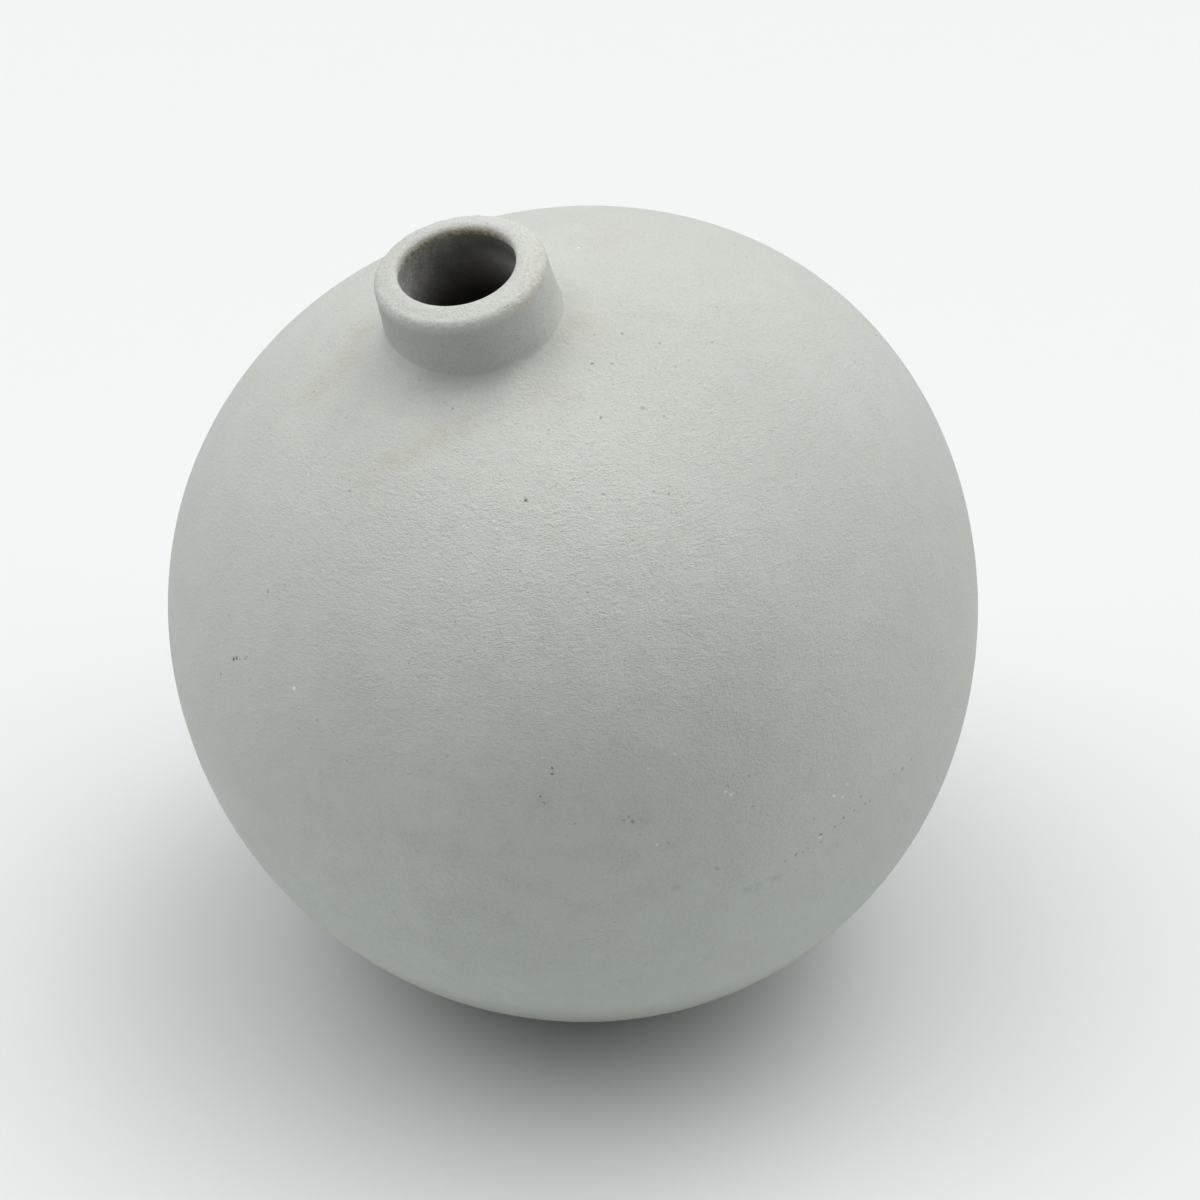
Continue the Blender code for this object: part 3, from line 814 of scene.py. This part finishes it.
# neck collar: bore, lip and wall, then the hidden seat and spigot
rings, nrm = span(m["bore"], m["fillet"])
seat = [neck_ring(root_r, on_ball(root_r, BALL_R + 0.02 * MM), 0.0) + CENTRE,
        neck_ring(SPIGOT_R, on_ball(SPIGOT_R, BALL_R + 0.02 * MM), 0.0) + CENTRE,
        neck_ring(SPIGOT_R, on_ball(SPIGOT_R, BALL_IN), 0.0) + CENTRE]
mesh = make("neck_collar_skin", rings + seat, len(rings), nrm)
disc_uv(mesh, rings + seat, [(0, len(rings) - 1, 0.42, 0.5, 0.06, 0.41),
                             (len(rings) - 1, len(rings) + 2, 0.92, 0.2, 0.07, 0.02),
                             (0, len(rings) + 3, 0.92, 0.5, 0.07, 0.05)])
piece("neck_collar_skin", mesh, "neck_collar", neck_clay)

# luting fillet: hollow curve, then its hidden underside
rings, nrm = span(m["fillet"], m["upper"])
toe_r = np.linalg.norm(((skin[m["upper"]] - CENTRE) @ NECK_ROT)[:, :2], axis=1)
under = [neck_ring((toe_r * 0.6 + root_r * 0.4), on_ball(toe_r * 0.6 + root_r * 0.4, BALL_R - 0.02 * MM), 0.0) + CENTRE,
         neck_ring(root_r + 0.02 * MM, on_ball(root_r + 0.02 * MM, BALL_R - 0.02 * MM), 0.0) + CENTRE]
mesh = make("neck_fillet_skin", rings + under, len(rings), nrm)
disc_uv(mesh, rings + under, [(0, len(rings) - 1, 0.42, 0.5, 0.2, 0.41),
                              (len(rings) - 1, len(rings) + 1, 0.92, 0.2, 0.07, 0.02),
                              (0, len(rings) + 2, 0.92, 0.5, 0.07, 0.05)])
piece("neck_fillet_skin", mesh, "neck_slip_fillet", fillet_clay)

# upper shell
rings, nrm = span(m["upper"], m["seam"])
hole = [neck_ring(SPIGOT_R + 0.02 * MM, on_ball(SPIGOT_R, BALL_R - 0.04 * MM), 0.0) + CENTRE]
inner = list(reversed(inner_up))
mesh = make("upper_shell_skin", rings + inner + hole, len(rings), nrm)
n0 = len(rings)
disc_uv(mesh, rings + inner + hole, [(0, n0 - 1, 0.40, 0.40, 0.05, 0.395),
                                     (n0 - 1, n0 + IN_ROWS + 1, 0.88, 0.88, 0.11, 0.02),
                                     (0, n0 + IN_ROWS + 2, 0.90, 0.60, 0.06, 0.04)])
piece("upper_shell_skin", mesh, "upper_shell", upper_clay)

# slip between the shells
rings, nrm = span(m["seam"], m["lower"])
inner = [inner_low[0], inner_up[-1]]
mesh = make("seam_slip_skin", rings + inner, len(rings), nrm)
disc_uv(mesh, rings + inner, [(0, 2, 0.5, 0.5, 0.490, 0.480), (2, 3, 0.5, 0.5, 0.472, 0.43),
                              (3, 4, 0.5, 0.5, 0.42, 0.41), (0, 5, 0.5, 0.5, 0.36, 0.40)])
piece("seam_slip_skin", mesh, "seam_slip_ring", slip_clay)

# lower shell, with the foot
rings, nrm = span(m["lower"], m["end"])
inner = list(reversed(floor_rings)) + list(reversed(inner_low))
n0 = len(rings)
mesh = make("lower_shell_skin", rings + inner, n0, nrm, open_at=n0 - 1)
disc_uv(mesh, rings + inner, [(0, n0 - 1, 0.40, 0.40, 0.395, 0.010),
                              (n0, n0 + IN_ROWS + 3, 0.88, 0.88, 0.006, 0.11),
                              (0, n0 + IN_ROWS + 4, 0.90, 0.40, 0.06, 0.08)])
piece("lower_shell_skin", mesh, "lower_shell", lower_clay)

# glaze lining of the cavity
lip = circle(NECK_ROT, math.acos(13.2 * MM / BALL_IN)) * BALL_IN + CENTRE
wall_rows = [lip] + inner_up + inner_low + floor_rings
s_out = (BALL_IN - 0.05 * MM) / BALL_IN
s_in = (BALL_IN - 0.05 * MM - GLAZE) / BALL_IN
film = ([(r - CENTRE) * s_out + CENTRE for r in wall_rows]
        + [(r - CENTRE) * s_in + CENTRE for r in reversed(wall_rows)])
nw = len(wall_rows)
mesh = make("glaze_lining", film, 0, None, open_at=nw - 1)
disc_uv(mesh, film, [(0, nw - 1, 0.25, 0.5, 0.24, 0.01),
                     (nw, 2 * nw - 1, 0.75, 0.5, 0.01, 0.24), (0, 2 * nw, 0.5, 0.05, 0.02, 0.03)])
piece("glaze_lining", mesh, "glaze_liner", glaze)

# -------------------------------------------------------------------------- stage
floor_mesh = bpy.data.meshes.new("floor")
stage_r = 14.0
floor_mesh.from_pydata([(stage_r * math.cos(2 * math.pi * k / 128), stage_r * math.sin(2 * math.pi * k / 128), 0.0)
                        for k in range(128)], [], [tuple(range(128))])
floor = bpy.data.objects.new("floor", floor_mesh)
floor.location = (0.0, 0.0, -0.0002)
scene.collection.objects.link(floor)
floor_mat = bpy.data.materials.new("floor_white")
floor_mat.use_nodes = True
fb = floor_mat.node_tree.nodes["Principled BSDF"]
fb.inputs["Base Color"].default_value = (0.675, 0.70, 0.694, 1.0)
fb.inputs["Roughness"].default_value = 0.9
fb.inputs["Specular IOR Level"].default_value = 0.1
floor_mesh.materials.append(floor_mat)

# soft studio light from the back and both sides, dim towards the camera. Each lamp is
# (elevation, azimuth from straight behind the vase towards the right, tightness, strength).
LAMPS = ((55.0, 270.0, 14.0, 2.63), (68.0, 45.0, 24.0, 3.57), (68.0, 315.0, 24.0, 2.17), (68.0, 90.0, 24.0, 1.02),
         (68.0, 225.0, 24.0, 0.53), (48.0, 90.0, 8.0, 2.0), (14.0, 270.0, 8.0, 0.72))
LIGHT = 1.175
world = bpy.data.worlds.new("studio")
scene.world = world
world.use_nodes = True
sky = world.node_tree
behind = np.array([FORWARD[0], FORWARD[1], 0.0]) / ce
look = node(sky, "ShaderNodeTexCoord").outputs["Generated"]
total = None
for elevation, azimuth, tight, strength in LAMPS:
    e, a = math.radians(elevation), math.radians(azimuth)
    way = (behind * math.cos(a) + RIGHT * math.sin(a)) * math.cos(e) + np.array([0.0, 0.0, math.sin(e)])
    dot = node(sky, "ShaderNodeVectorMath", operation="DOT_PRODUCT")
    sky.links.new(look, dot.inputs[0])
    dot.inputs[1].default_value = tuple(way)
    front = node(sky, "ShaderNodeMath", operation="MAXIMUM")
    sky.links.new(dot.outputs["Value"], front.inputs[0])
    front.inputs[1].default_value = 0.0
    lobe = node(sky, "ShaderNodeMath", operation="POWER")
    sky.links.new(front.outputs[0], lobe.inputs[0])
    lobe.inputs[1].default_value = tight
    part = node(sky, "ShaderNodeMath", operation="MULTIPLY_ADD")
    sky.links.new(lobe.outputs[0], part.inputs[0])
    part.inputs[1].default_value = strength * LIGHT
    if total is not None:
        sky.links.new(total, part.inputs[2])
    else:
        part.inputs[2].default_value = 0.0
    total = part.outputs[0]
bg = sky.nodes["Background"]
bg.inputs["Color"].default_value = (1.0, 1.0, 1.0, 1.0)
sky.links.new(total, bg.inputs["Strength"])
# beyond the floor's edge the surround is plain and pale
plain = node(sky, "ShaderNodeBackground")
plain.inputs["Color"].default_value = (0.88, 0.91, 0.90, 1.0)
seen = node(sky, "ShaderNodeMixShader")
sky.links.new(node(sky, "ShaderNodeLightPath").outputs["Is Camera Ray"], seen.inputs[0])
sky.links.new(bg.outputs[0], seen.inputs[1])
sky.links.new(plain.outputs[0], seen.inputs[2])
sky.links.new(seen.outputs[0], sky.nodes["World Output"].inputs["Surface"])

scene.view_settings.view_transform = "Standard"
scene.view_settings.look = "None"
scene.view_settings.exposure = 0.0
scene.view_settings.gamma = 1.0
